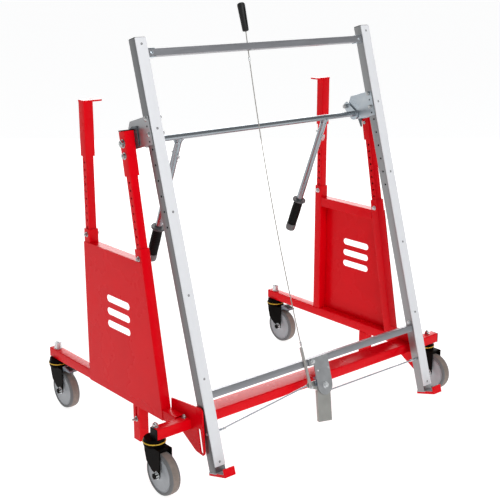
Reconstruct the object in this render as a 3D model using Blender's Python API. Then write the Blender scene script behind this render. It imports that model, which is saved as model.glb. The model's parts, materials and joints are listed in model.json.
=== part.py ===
"""Panel-handling trolley with a height-adjustable, tilting ladder frame.

Metres, +Z up.  X is the width, -Y the loading side that the ladder frame leans towards, the floor is z = 0.
Three sets of axes are used: the chassis (world axes), the front posts (z along the leaning posts, origin
on the tilt axis) and the ladder frame (y behind the rear faces of its rails, z along the rails from their
lower ends).  "side" is -1 for the left half of the trolley and +1 for the right half.
"""
import math

import bmesh
import bpy
from mathutils import Matrix, Vector

GAP = 0.0003                    # clearance between two pieces that touch
SIDES = ((-1, "left"), (1, "right"))

# Chassis
HALF_WIDTH = 0.500              # outer face of the side sheets
SHEET = 0.002
TUBE = 0.032                    # square sleeve and chassis tube
WALL = 0.003
POST = 0.025                    # square post that slides in a sleeve
POST_WALL = 0.0025
TUBE_OUT = HALF_WIDTH - SHEET   # outer face of the side frames' tubes
TUBE_IN = TUBE_OUT - TUBE
TUBE_MID = TUBE_OUT - TUBE / 2
BEAM_FRONT = -0.300
BEAM_BACK = BEAM_FRONT + TUBE
BEAM_BOTTOM = 0.158
BEAM_DEPTH = 0.062              # depth of the beam's wide part, between the catch plates
BEAM_WIDE = 0.4605
BEAM_LEFT, BEAM_RIGHT = -0.580, 0.6012
CAP = 0.003
RAIL_BOTTOM = 0.162
RAIL_TOP = RAIL_BOTTOM + TUBE
RAIL_END = 0.441
REAR_FRONT = 0.153              # front face of the upright rear sleeves
REAR_BACK = REAR_FRONT + TUBE
REAR_MID = REAR_FRONT + TUBE / 2
REAR_SLEEVE_TOP = 0.655
SIDE_TOP = 0.614                # top of the top rails and of the side sheets
LEG_Y = -0.071                  # middle of the parking legs
HOLE_PITCH = 0.022
POST_HOLE = 0.007

# Tilt axis, front posts and ladder frame
PIVOT = Vector((0.0, -0.048, 0.943))
POST_LEAN = math.radians(10.7)
FRAME_LEAN = math.radians(16.25)
AXLE_Y, AXLE_Z = 0.062, 0.945   # tilt axis in the ladder frame's own axes
HEAD_TOP = 0.034
HEAD_BOTTOM = -0.092
FRONT_SLEEVE_TOP = -0.298
FRONT_POST_END = -0.500
REAR_HEAD_BOTTOM = 0.877
HOOK_TOP = 1.042
HOOK_THICK = 0.005
HOOK_REACH = 0.436              # inner end of the rest plates
REAR_POST_END = 0.440

FRAME_OUT = 0.4578              # outer faces of the ladder frame's rails
FRAME_IN = 0.4217
FRAME_MID = (FRAME_OUT + FRAME_IN) / 2
FRAME_DEPTH = 0.030
FRAME_WALL = 0.002
FRAME_LENGTH = 1.218
FRAME_START = -0.0060           # the rails' lower ends
FOOT_FRONT = -0.07242            # front of the feet's upturned lip
STRIP_START = 0.014
STRIP_FRONT = 0.034
CROSSBAR_FRONT, CROSSBAR_BACK = 0.028, 0.005
CROSSBAR = 0.0205               # height of a crossbar along the rails
TOP_BAR_Z = 1.166
LOW_BAR_Z = 0.201
SIDE_HOLE_Z = 0.912
SIDE_HOLE_PITCH = 0.0435
SIDE_HOLE_COUNT = 6
CROSS_RADIUS = 0.009
LEVER_X = {-1: 0.303, 1: 0.283}
LEVER_ANGLE = math.radians(22.0) + FRAME_LEAN
LEVER_LENGTH = 0.436
LEVER_RADIUS = 0.0105
SPIGOT_RADIUS = 0.008
GRIP_START, GRIP_END = 0.316, 0.440

# Latch
LATCH_X, LATCH_Z = -0.0025, 0.1305
PIN_Y, PIN_Z = -0.022, 0.108    # spring pins, in the ladder frame's axes
PIN_RADIUS = 0.004
PIN_TIP, PIN_TAIL = 0.4593, 0.405
ROD_RADIUS = 0.0023
LATCH_TILT = math.radians(1.65)  # how far the frame swings back for the pins to meet the slots
KICK_TURN = math.radians(9.0)   # how far the kick bar stands off the frame's centre line
CABLE_TOP = Vector((-0.051, -0.0165, 1.222))
CABLE_LOW = Vector((-0.0715, -0.0335, 0.2657))
CABLE_RADIUS = 0.0015
CABLE_SAG = 0.019
CABLE_POINTS = 40

# Castors
WHEEL_RADIUS = 0.0625
WHEEL_HALF = 0.016
TRAIL = 0.0412
FORK_PLATE = 0.003
FORK_IN = 0.0188
CASTOR_TOP = 0.1577
CROWN_RADIUS = 0.0315
CROWN_BOTTOM = 0.1335
AXLE_RADIUS = 0.006
FRONT_STEM = Vector((0.5715, -0.2704, 0.0))
REAR_STEM = Vector((TUBE_MID, 0.4135, 0.0))


# ---------------------------------------------------------------- materials and mesh tools

def make_material(name, colour, roughness, metallic=0.0):
    material = bpy.data.materials.new(name)
    material.use_nodes = True
    shader = material.node_tree.nodes["Principled BSDF"]
    shader.inputs["Base Color"].default_value = (*colour, 1.0)
    shader.inputs["Roughness"].default_value = roughness
    shader.inputs["Metallic"].default_value = metallic
    material.diffuse_color = (*colour, 1.0)
    return material


def from_bmesh(mesh):
    """A loose object from a bmesh whose faces are turned outwards."""
    bmesh.ops.recalc_face_normals(mesh, faces=mesh.faces)
    data = bpy.data.meshes.new("piece")
    mesh.to_mesh(data)
    mesh.free()
    piece = bpy.data.objects.new("piece", data)
    bpy.context.collection.objects.link(piece)
    return piece


def prism(outline, axis, low, high):
    """Outline points extruded along axis 0, 1 or 2; the points name the other two axes in order."""
    mesh = bmesh.new()
    rings = []
    for level in (low, high):
        ring = []
        for first, second in outline:
            place = [first, second]
            place.insert(axis, level)
            ring.append(mesh.verts.new(place))
        rings.append(ring)
    mesh.faces.new(rings[0])
    mesh.faces.new(reversed(rings[1]))
    count = len(outline)
    for i in range(count):
        j = (i + 1) % count
        mesh.faces.new((rings[0][i], rings[0][j], rings[1][j], rings[1][i]))
    return from_bmesh(mesh)


def rectangle(low, high):
    return [(low[0], low[1]), (high[0], low[1]), (high[0], high[1]), (low[0], high[1])]


def box(low, high):
    return prism(rectangle(low[:2], high[:2]), 2, low[2], high[2])


def square_tube(centre, half, wall, axis, low, high):
    """Open-ended rectangular tube; centre and half name the two axes other than the given one."""
    mesh = bmesh.new()
    loops = []
    for level in (low, high):
        for inset in (0.0, wall):
            loop = []
            for a, b in ((-1, -1), (1, -1), (1, 1), (-1, 1)):
                place = [centre[0] + a * (half[0] - inset), centre[1] + b * (half[1] - inset)]
                place.insert(axis, level)
                loop.append(mesh.verts.new(place))
            loops.append(loop)
    for first, second in ((0, 1), (1, 3), (3, 2), (2, 0)):
        for i in range(4):
            j = (i + 1) % 4
            mesh.faces.new((loops[first][i], loops[first][j], loops[second][j], loops[second][i]))
    return from_bmesh(mesh)


def lathe(profile, segments=32):
    """Closed profile of (along, radius) points turned about X."""
    mesh = bmesh.new()
    rings = []
    for step in range(segments):
        angle = 2 * math.pi * step / segments
        rings.append([mesh.verts.new((x, r * math.cos(angle), r * math.sin(angle))) for x, r in profile])
    count = len(profile)
    for step in range(segments):
        ring, after = rings[step], rings[(step + 1) % segments]
        for i in range(count):
            j = (i + 1) % count
            mesh.faces.new((ring[i], ring[j], after[j], after[i]))
    return from_bmesh(mesh)


def rod(start, end, radius, segments=16):
    """Solid cylinder between two points."""
    start, end = Vector(start), Vector(end)
    mesh = bmesh.new()
    bmesh.ops.create_cone(mesh, cap_ends=True, segments=segments, radius1=radius, radius2=radius,
                          depth=(end - start).length)
    turn = (end - start).to_track_quat("Z", "Y").to_matrix().to_4x4()
    bmesh.ops.transform(mesh, matrix=Matrix.Translation((start + end) / 2) @ turn, verts=mesh.verts)
    return from_bmesh(mesh)


def moved(piece, matrix):
    piece.data.transform(matrix)
    return piece


def combine(piece, tool, operation):
    """Boolean of two loose objects; the tool is used up."""
    step = piece.modifiers.new(operation, "BOOLEAN")
    step.operation = operation
    step.solver = "EXACT"
    step.object = tool
    bpy.context.view_layer.update()
    result = bpy.data.meshes.new_from_object(piece.evaluated_get(bpy.context.evaluated_depsgraph_get()))
    piece.modifiers.clear()
    old = piece.data
    piece.data = result
    bpy.data.meshes.remove(old)
    bpy.data.meshes.remove(tool.data)
    return piece


def join(piece, *tools):
    for tool in tools:
        combine(piece, tool, "UNION")
    return piece


def cut(piece, *tools):
    for tool in tools:
        combine(piece, tool, "DIFFERENCE")
    return piece


def arc(centre, radius, start, end, steps):
    """Points on an arc, angles in degrees."""
    points = []
    for i in range(steps + 1):
        angle = math.radians(start + (end - start) * i / steps)
        points.append((centre[0] + radius * math.cos(angle), centre[1] + radius * math.sin(angle)))
    return points


def slot_outline(first, second, radius, steps=6):
    """Round-ended slot between two centres."""
    heading = math.degrees(math.atan2(second[1] - first[1], second[0] - first[0]))
    return (arc(second, radius, heading - 90, heading + 90, steps)
            + arc(first, radius, heading + 90, heading + 270, steps))


def make_empty(name, parent=None, location=(0, 0, 0), lean=0.0):
    holder = bpy.data.objects.new(name, None)
    holder.empty_display_size = 0.05
    holder.location = location
    holder.rotation_euler = (lean, 0, 0)
    holder.parent = parent
    bpy.context.collection.objects.link(holder)
    return holder


def settle(piece, name, material, holder, origin=(0, 0, 0), smooth=False):
    """Name a finished piece and hang it on its holder, whose origin is given in the piece's own axes."""
    piece.name = name
    piece.data.name = name
    piece.data.transform(Matrix.Translation(-Vector(origin)))
    piece.data.materials.clear()
    piece.data.materials.append(material)
    if smooth:
        piece.data.shade_smooth()
        piece.data.set_sharp_from_angle(angle=math.radians(35))
    piece.parent = holder
    return piece


def span(side, inner, outer):
    """Low and high X of something between two distances from the centre plane."""
    return (side * inner, side * outer) if side > 0 else (side * outer, side * inner)


# ---------------------------------------------------------------- chassis

def build_front_beam(chassis, paint, plastic):
    """Tube across the front: narrow where it carries the castors, two chambers deep between the plates."""
    middle = (BEAM_FRONT + TUBE / 2, BEAM_BOTTOM + TUBE / 2)
    top = BEAM_BOTTOM + TUBE
    beam = box((BEAM_LEFT, BEAM_FRONT, BEAM_BOTTOM), (BEAM_RIGHT, BEAM_BACK, top))
    join(beam, box((-BEAM_WIDE, BEAM_BACK - 0.001, BEAM_BOTTOM), (BEAM_WIDE, BEAM_FRONT + BEAM_DEPTH, top)))
    for front, back in ((BEAM_FRONT + WALL, BEAM_BACK - WALL), (BEAM_BACK, BEAM_FRONT + BEAM_DEPTH - WALL)):
        cut(beam, box((-1.0, front, BEAM_BOTTOM + WALL), (1.0, back, top - WALL)))
    settle(beam, "front_beam", paint, chassis)
    inside = TUBE - 2 * WALL - 2 * GAP
    for side, word in SIDES:
        end = BEAM_LEFT if side < 0 else BEAM_RIGHT
        cover = box((-CAP / 2, -TUBE / 2, -TUBE / 2), (CAP / 2, TUBE / 2, TUBE / 2))
        plug_low, plug_high = sorted((0.0, -side * 0.006))
        plug = box((plug_low, -inside / 2, -inside / 2), (plug_high, inside / 2, inside / 2))
        cap = moved(join(cover, plug), Matrix.Translation((end + side * (CAP / 2 + GAP), *middle)))
        settle(cap, "beam_end_cap_" + word, plastic, chassis)


def sleeve_front(z):
    """Y of the front face of the leaning sleeves at height z."""
    return PIVOT.y + (z - PIVOT.z) * math.tan(POST_LEAN) - TUBE / 2 / math.cos(POST_LEAN)


def build_side_frame(side, word, chassis, paint):
    outer = side * TUBE_OUT
    middle = side * TUBE_MID
    half = (TUBE / 2, TUBE / 2)

    base = square_tube((middle, RAIL_BOTTOM + TUBE / 2), half, WALL, 1, BEAM_BACK + GAP, RAIL_END)
    guide = square_tube((middle, LEG_Y), (0.0125, 0.0125), WALL, 2, 0.075, RAIL_BOTTOM + 0.001)
    settle(join(base, guide), "base_rail_" + word, paint, chassis)

    rear = square_tube((middle, REAR_MID), half, WALL, 2, RAIL_TOP + GAP, REAR_SLEEVE_TOP)
    settle(rear, "rear_sleeve_" + word, paint, chassis)

    front = square_tube((middle, 0.0), half, WALL, 2, -0.80, FRONT_SLEEVE_TOP)
    moved(front, Matrix.Translation(PIVOT) @ Matrix.Rotation(-POST_LEAN, 4, "X"))
    below = box((middle - 0.03, -0.4, 0.0), (middle + 0.03, 0.1, RAIL_TOP + GAP))
    settle(cut(front, below), "front_sleeve_" + word, paint, chassis)

    back_of_sleeve = sleeve_front(SIDE_TOP - TUBE / 2) + TUBE / math.cos(POST_LEAN)
    slant = TUBE / 2 * math.tan(POST_LEAN)
    low_x, high_x = span(side, TUBE_IN, TUBE_OUT)
    outline = [(back_of_sleeve - slant + GAP, SIDE_TOP - TUBE), (REAR_FRONT - GAP, SIDE_TOP - TUBE),
               (REAR_FRONT - GAP, SIDE_TOP), (back_of_sleeve + slant + GAP, SIDE_TOP)]
    top = prism(outline, 0, low_x, high_x)
    bore = box((low_x + WALL, back_of_sleeve - 0.05, SIDE_TOP - TUBE + WALL),
               (high_x - WALL, REAR_FRONT + 0.05, SIDE_TOP - WALL))
    settle(cut(top, bore), "top_rail_" + word, paint, chassis)

    outline = [(sleeve_front(RAIL_BOTTOM), RAIL_BOTTOM), (REAR_BACK, RAIL_BOTTOM), (REAR_BACK, SIDE_TOP),
               (sleeve_front(SIDE_TOP), SIDE_TOP)]
    low_x, high_x = span(side, TUBE_OUT + GAP, HALF_WIDTH)
    sheet = prism(outline, 0, low_x, high_x)
    for level in (0.385, 0.425, 0.465):
        opening = slot_outline((-0.045, level), (0.055, level), 0.011)
        cut(sheet, prism(opening, 0, low_x - 0.01, high_x + 0.01))
    settle(sheet, "side_sheet_" + word, paint, chassis)
    settle(build_catch_plate(side), "catch_plate_" + word, paint, chassis)


def latched(y, z):
    """World (y, z) of a point of the ladder frame once the frame has swung back to be latched."""
    lean = FRAME_LEAN - LATCH_TILT
    dy, dz = y - AXLE_Y, z - AXLE_Z
    return (PIVOT.y + dy * math.cos(lean) + dz * math.sin(lean),
            PIVOT.z - dy * math.sin(lean) + dz * math.cos(lean))


def build_catch_plate(side):
    """Gusset beside the beam, with the slot that takes the spring pin."""
    low_x, high_x = span(side, 0.4610, TUBE_IN - GAP)
    outline = [(-0.206, 0.223), (-0.2063, RAIL_BOTTOM + 0.002), (-0.250, 0.141), (-0.322, 0.099)]
    outline += arc((-0.3490, 0.1075), 0.0125, 250, 180, 5)
    outline += arc((-0.3400, 0.2240), 0.0125, 176, 92, 4)
    plate = prism(outline, 0, low_x, high_x)
    window = box((low_x - 0.01, BEAM_FRONT - GAP, BEAM_BOTTOM - GAP),
                 (high_x + 0.01, BEAM_BACK + GAP, BEAM_BOTTOM + TUBE + GAP))
    pin = Vector(latched(PIN_Y, PIN_Z))
    along = Vector((math.sin(POST_LEAN), math.cos(POST_LEAN)))
    slot = slot_outline(pin - along * 0.048, pin + along * 0.014, 0.0058)
    return cut(plate, window, prism(slot, 0, low_x - 0.01, high_x + 0.01))


def build_support_leg(side, word, chassis, paint):
    """Outer tube of the parking leg, with the slot that its clamp bolt runs in."""
    middle, centre = side * TUBE_MID, LEG_Y
    leg = square_tube((middle, centre), (0.016, 0.016), WALL, 2, 0.048, RAIL_BOTTOM - GAP)
    foot = box((middle - 0.015, centre - 0.015, 0.048), (middle + 0.015, centre + 0.015, 0.051))
    low_x, high_x = span(side, TUBE_MID + 0.008, TUBE_OUT + 0.01)
    slot = slot_outline((centre, 0.118), (centre, 0.154), 0.0042)
    cut(leg, prism(slot, 0, low_x, high_x))
    holder = make_empty("leg_slide_" + word, chassis, (middle, centre, 0.048))
    settle(join(leg, foot), "support_leg_" + word, paint, holder, (middle, centre, 0.048))


# ---------------------------------------------------------------- sliding posts

def hole_cutters(x, y, levels, reach):
    return [rod((x - reach, y, z), (x + reach, y, z), POST_HOLE / 2, 10) for z in levels]


def build_rear_post(side, word, chassis, paint):
    middle = side * TUBE_MID
    post = square_tube((middle, REAR_MID), (POST / 2, POST / 2), POST_WALL, 2, REAR_POST_END, HOOK_TOP - 0.012)
    head = square_tube((middle, REAR_MID), (TUBE / 2, TUBE / 2), TUBE / 2 - POST / 2 + 0.0005, 2,
                       REAR_HEAD_BOTTOM, HOOK_TOP - HOOK_THICK / 2)
    low_x, high_x = span(side, HOOK_REACH, TUBE_OUT)
    plate = box((low_x, REAR_FRONT, HOOK_TOP - HOOK_THICK), (high_x, REAR_BACK, HOOK_TOP))
    join(post, head, plate)
    levels = [REAR_SLEEVE_TOP + 0.005 + HOLE_PITCH * i for i in range(10)]
    cut(post, *hole_cutters(middle, REAR_MID, levels, 0.02))
    origin = (middle, REAR_MID, HOOK_TOP)
    holder = make_empty("rear_post_slide_" + word, chassis, origin)
    settle(post, "rear_post_" + word, paint, holder, origin)


def build_front_post(side, word, posts, paint, plastic, zinc):
    """Post, cap and pivot bolt in the posts' own axes, with the tilt axis at the origin."""
    middle = side * TUBE_MID
    post = square_tube((middle, 0.0), (POST / 2, POST / 2), POST_WALL, 2, FRONT_POST_END, HEAD_TOP - 0.004)
    head = square_tube((middle, 0.0), (TUBE / 2, TUBE / 2), TUBE / 2 - POST / 2 + 0.0005, 2,
                       HEAD_BOTTOM, HEAD_TOP)
    join(post, head)
    levels = [FRONT_SLEEVE_TOP + 0.012 + HOLE_PITCH * i for i in range(9)]
    cut(post, *hole_cutters(middle, 0.0, levels, 0.02))
    cut(post, rod((middle - 0.03, 0, 0), (middle + 0.03, 0, 0), AXLE_RADIUS + GAP))
    settle(post, "front_post_" + word, paint, posts)

    cover = box((middle - TUBE / 2, -TUBE / 2, HEAD_TOP + GAP), (middle + TUBE / 2, TUBE / 2, HEAD_TOP + 0.0035))
    plug = box((middle - 0.009, -0.009, HEAD_TOP - 0.012), (middle + 0.009, 0.009, HEAD_TOP + 0.001))
    settle(join(cover, plug), "front_post_cap_" + word, plastic, posts)

    shank = rod((side * 0.425, 0, 0), (side * (TUBE_OUT + 0.002), 0, 0), AXLE_RADIUS)
    low_x, high_x = span(side, 0.4618, TUBE_IN - GAP)
    outline = [(-0.029, -0.012), (-0.008, -0.014), (0.010, -0.019), (0.0155, -0.030), (0.0165, -0.047),
               (0.0205, -0.047), (0.033, -0.008), (0.033, 0.012), (0.006, 0.040), (-0.006, 0.044),
               (-0.029, 0.044)]
    plate = prism(outline, 0, low_x, high_x)
    nut = rod((side * (TUBE_OUT + GAP), 0, 0), (side * (TUBE_OUT + 0.008), 0, 0), 0.0098, 6)
    settle(join(shank, plate, nut), "pivot_bolt_" + word, zinc, posts)


# ---------------------------------------------------------------- ladder frame

def build_ladder(tilt, alloy, white, paint):
    axle = (0, AXLE_Y, AXLE_Z)
    for side, word in SIDES:
        middle = side * FRAME_MID
        rail = square_tube((middle, -FRAME_DEPTH / 2), ((FRAME_OUT - FRAME_IN) / 2, FRAME_DEPTH / 2),
                           FRAME_WALL, 2, FRAME_START, FRAME_LENGTH)
        for i in range(SIDE_HOLE_COUNT):
            level = SIDE_HOLE_Z - i * SIDE_HOLE_PITCH
            cut(rail, rod((middle - 0.03, -0.018, level), (middle + 0.03, -0.018, level), 0.0032, 10))
        cut(rail, rod((middle - 0.03, PIN_Y, PIN_Z), (middle + 0.03, PIN_Y, PIN_Z), PIN_RADIUS + GAP))
        settle(rail, "frame_rail_" + word, alloy, tilt, axle)

        low_x, high_x = span(side, FRAME_IN, FRAME_OUT)
        strip = box((low_x, -STRIP_FRONT, STRIP_START), (high_x, -FRAME_DEPTH - GAP, FRAME_LENGTH))
        settle(strip, "face_strip_" + word, white, tilt, axle)
        settle(build_foot(side), "foot_" + word, paint, tilt, axle)

    for level, name in ((TOP_BAR_Z, "top_crossbar"), (LOW_BAR_Z, "bottom_crossbar")):
        centre = (-(CROSSBAR_FRONT + CROSSBAR_BACK) / 2, level + CROSSBAR / 2)
        half = ((CROSSBAR_FRONT - CROSSBAR_BACK) / 2, CROSSBAR / 2)
        bar = square_tube(centre, half, FRAME_WALL, 0, -FRAME_IN + GAP, FRAME_IN - GAP)
        if name == "top_crossbar":
            cut(bar, rod((CABLE_TOP.x, centre[0], level - 0.01), (CABLE_TOP.x, centre[0], level + 0.04),
                         0.0068))
        settle(bar, name, alloy, tilt, axle)


def build_foot(side):
    """Shelf under a rail with a raised pad, an upturned front lip and a tongue inside the rail."""
    low_x, high_x = span(side, FRAME_IN - 0.001, FRAME_OUT + 0.001)
    top = FRAME_START - GAP
    bottom = top - 0.0062
    outline = [(0.002, bottom), (0.002, top), (-0.0345, top), (-0.0345, top + 0.003), (-0.0666, top + 0.003),
               (-0.0666, top), (-0.0674, top), (-0.0674, bottom + 0.0245), (FOOT_FRONT, bottom + 0.0245),
               (FOOT_FRONT, bottom)]
    shelf = prism(outline, 0, low_x, high_x)
    inside = FRAME_WALL + GAP
    low_x, high_x = span(side, FRAME_IN + inside, FRAME_OUT - inside)
    tongue = box((low_x, -0.009, top - 0.002), (high_x, -inside, 0.045))
    return join(shelf, tongue)


def build_pivot_bracket(side):
    """Two cheeks and a web that grip a rail from behind and carry the cross tube."""
    outline = [(-0.028, 0.925), (-0.028, 1.005), (0.065, 1.004), (0.078, 0.987)]
    outline += arc((AXLE_Y, AXLE_Z), 0.020, 30, -90, 8)
    cheeks = []
    for inner, outer in ((FRAME_IN - GAP - 0.003, FRAME_IN - GAP), (FRAME_OUT + GAP, FRAME_OUT + GAP + 0.003)):
        cheeks.append(prism(outline, 0, *span(side, inner, outer)))
    low_x, high_x = span(side, FRAME_IN - 0.002, FRAME_OUT + 0.002)
    web = box((low_x, GAP, 0.935), (high_x, 0.0033, 1.003))
    bracket = join(cheeks[0], web, cheeks[1])
    tube_hole = rod((side * 0.41, AXLE_Y, AXLE_Z), (side * 0.44, AXLE_Y, AXLE_Z), CROSS_RADIUS + GAP, 24)
    bolt_hole = rod((side * 0.44, AXLE_Y, AXLE_Z), (side * 0.47, AXLE_Y, AXLE_Z), AXLE_RADIUS + GAP)
    return cut(bracket, tube_hole, bolt_hole)


def lever_point(side, distance):
    return Vector((side * LEVER_X[side], AXLE_Y + distance * math.sin(LEVER_ANGLE),
                   AXLE_Z - distance * math.cos(LEVER_ANGLE)))


def build_cross_tube(tilt, zinc, rubber):
    axle = (0, AXLE_Y, AXLE_Z)
    end = FRAME_OUT - 0.001
    tube = rod((-end, AXLE_Y, AXLE_Z), (end, AXLE_Y, AXLE_Z), CROSS_RADIUS, 20)
    for side, word in SIDES:
        saddle = rod(lever_point(side, 0.004), lever_point(side, 0.016), LEVER_RADIUS, 20)
        spigot = rod(lever_point(side, 0.008), lever_point(side, 0.070), SPIGOT_RADIUS, 16)
        join(tube, saddle, spigot)
        cut(tube, rod((side * 0.420, AXLE_Y, AXLE_Z), (side * 0.47, AXLE_Y, AXLE_Z), AXLE_RADIUS + GAP))
    settle(tube, "cross_tube", zinc, tilt, axle, smooth=True)

    for side, word in SIDES:
        bar = rod(lever_point(side, 0.0163), lever_point(side, LEVER_LENGTH), LEVER_RADIUS, 20)
        bore = rod(lever_point(side, 0.010), lever_point(side, 0.072), SPIGOT_RADIUS + GAP, 16)
        settle(cut(bar, bore), "lever_" + word, zinc, tilt, axle, smooth=True)
        inner = LEVER_RADIUS + GAP
        profile = [(GRIP_START, inner), (GRIP_START, 0.019), (GRIP_START + 0.006, 0.019),
                   (GRIP_START + 0.009, 0.0135), (GRIP_END - 0.012, 0.0145), (GRIP_END, 0.0125),
                   (GRIP_END, inner)]
        grip = lathe(profile, 20)
        start, heading = lever_point(side, 0.0), lever_point(side, 1.0) - lever_point(side, 0.0)
        moved(grip, Matrix.Translation(start) @ heading.to_track_quat("X", "Z").to_matrix().to_4x4())
        settle(grip, "lever_grip_" + word, rubber, tilt, axle, smooth=True)

    outline = arc((AXLE_Y, AXLE_Z), 0.020, 185, 320, 7) + [(0.096, 0.966), (0.097, 0.984), (0.084, 0.990)]
    plate = prism(outline, 0, 0.4125, 0.4170)
    hole = rod((0.40, AXLE_Y, AXLE_Z), (0.43, AXLE_Y, AXLE_Z), CROSS_RADIUS + GAP, 20)
    settle(cut(plate, hole), "stop_plate", zinc, tilt, axle)


# ---------------------------------------------------------------- latch

def build_latch(tilt, zinc, steel, rubber):
    axle = (0, AXLE_Y, AXLE_Z)
    front = -CROSSBAR_FRONT - GAP

    outline = [(-0.052, 0.2003), (-0.052, 0.2213), (LATCH_X + 0.030, 0.2213)]
    outline += arc((LATCH_X, LATCH_Z), 0.030, 0, -180, 12) + [(LATCH_X - 0.030, 0.2003)]
    bracket = prism(outline, 1, front - 0.003, front)
    stud = rod((LATCH_X, front - 0.002, LATCH_Z), (LATCH_X, -0.016, LATCH_Z), 0.004)
    settle(join(bracket, stud), "latch_bracket", zinc, tilt, axle)

    hub = Vector((LATCH_X, -0.0260, LATCH_Z))
    holder = make_empty("latch_turn", tilt, hub - Vector(axle))
    plate_back, plate_front = -0.0246, -0.0279
    outline = arc((LATCH_X, LATCH_Z), 0.021, -90, 90, 8) + arc((LATCH_X - 0.060, LATCH_Z + 0.014), 0.009, 100, 255, 6)
    arm = prism(outline, 1, plate_front, plate_back)
    bar = box((-0.0315, plate_front, -0.110), (0.0225, plate_back, 0.004))
    flanges = [box((x, plate_front, -0.108), (x + 0.003, -0.0195, top)) for x, top in
               ((-0.0315, -0.014), (0.0195, -0.042))]
    join(bar, *flanges)
    moved(bar, Matrix.Translation((LATCH_X, 0, LATCH_Z)) @ Matrix.Rotation(KICK_TURN, 4, "Y"))
    crank = join(arm, bar)
    cut(crank, rod((LATCH_X, -0.05, LATCH_Z), (LATCH_X, 0.0, LATCH_Z), 0.0043))
    settle(crank, "kick_crank", steel, holder, hub)

    pull = make_empty("pull_slide", tilt, CABLE_LOW - Vector(axle))
    lower, upper = Vector((LATCH_X - 0.0600, LATCH_Z + 0.0070)), Vector((-0.0720, 0.2609))
    link = prism(slot_outline(lower, upper, 0.0045, 5), 1, front - 0.0055, front - 0.0005)
    settle(link, "pull_link", zinc, pull, CABLE_LOW)
    settle(build_cable(), "pull_cable", steel, pull, CABLE_LOW, smooth=True)
    settle(build_pull_grip(), "pull_grip", rubber, pull, CABLE_LOW, smooth=True)

    inner_ends = {-1: Vector((LATCH_X - 0.058, PIN_Y, LATCH_Z + 0.015)),
                  1: Vector((LATCH_X + 0.014, PIN_Y, LATCH_Z - 0.0225))}
    for side, word in SIDES:
        eye = Vector((side * PIN_TAIL, PIN_Y, PIN_Z))
        slide = make_empty("pin_slide_" + word, tilt, eye - Vector(axle))
        pin = rod((side * (PIN_TAIL + 2 * GAP), PIN_Y, PIN_Z), (side * PIN_TIP, PIN_Y, PIN_Z), PIN_RADIUS)
        settle(pin, "latch_pin_" + word, zinc, slide, eye, smooth=True)
        wire = rod(eye, inner_ends[side], ROD_RADIUS, 10)
        settle(wire, "latch_rod_" + word, zinc, slide, eye, smooth=True)


def cable_point(t):
    """Route of the pull cable from the link (t = 0) to the grip (t = 1): a shallow sag behind the frame."""
    sag = 4 * CABLE_SAG * t * (1 - t)
    return CABLE_LOW.lerp(CABLE_TOP, t) + Vector((0, sag, 0))


def build_cable():
    curve = bpy.data.curves.new("cable", "CURVE")
    curve.dimensions = "3D"
    curve.bevel_depth = CABLE_RADIUS
    curve.bevel_resolution = 2
    curve.use_fill_caps = True
    spline = curve.splines.new("POLY")
    spline.points.add(CABLE_POINTS - 1)
    for i, point in enumerate(spline.points):
        point.co = (*cable_point(i / (CABLE_POINTS - 1)), 1.0)
    wire = bpy.data.objects.new("cable", curve)
    bpy.context.collection.objects.link(wire)
    bpy.context.view_layer.update()
    mesh = bpy.data.meshes.new_from_object(wire.evaluated_get(bpy.context.evaluated_depsgraph_get()))
    bpy.data.curves.remove(curve)
    cable = bpy.data.objects.new("cable", mesh)
    bpy.context.collection.objects.link(cable)
    return cable


def build_pull_grip():
    """Tapered hand grip above the top crossbar, with a lengthwise slot."""
    start = CABLE_TOP.z + GAP
    profile = [(start, 0.006), (start + 0.002, 0.0095), (start + 0.078, 0.012), (start + 0.085, 0.008)]
    grip = moved(revolve_up(profile, 16), Matrix.Translation((CABLE_TOP.x, CABLE_TOP.y, 0)))
    opening = slot_outline((CABLE_TOP.x, start + 0.018), (CABLE_TOP.x, start + 0.066), 0.0016, 4)
    return cut(grip, prism(opening, 1, CABLE_TOP.y - 0.02, CABLE_TOP.y + 0.02))


# ---------------------------------------------------------------- castors

def wheel_profile():
    half = []
    half += [(0.018, AXLE_RADIUS + GAP), (0.018, 0.013), (0.011, 0.016), (0.011, 0.041), (0.0145, 0.044)]
    half += [(WHEEL_HALF, 0.049), (WHEEL_HALF, 0.057), (0.0125, 0.0612), (0.0065, WHEEL_RADIUS)]
    return half + [(-x, r) for x, r in reversed(half)]


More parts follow.
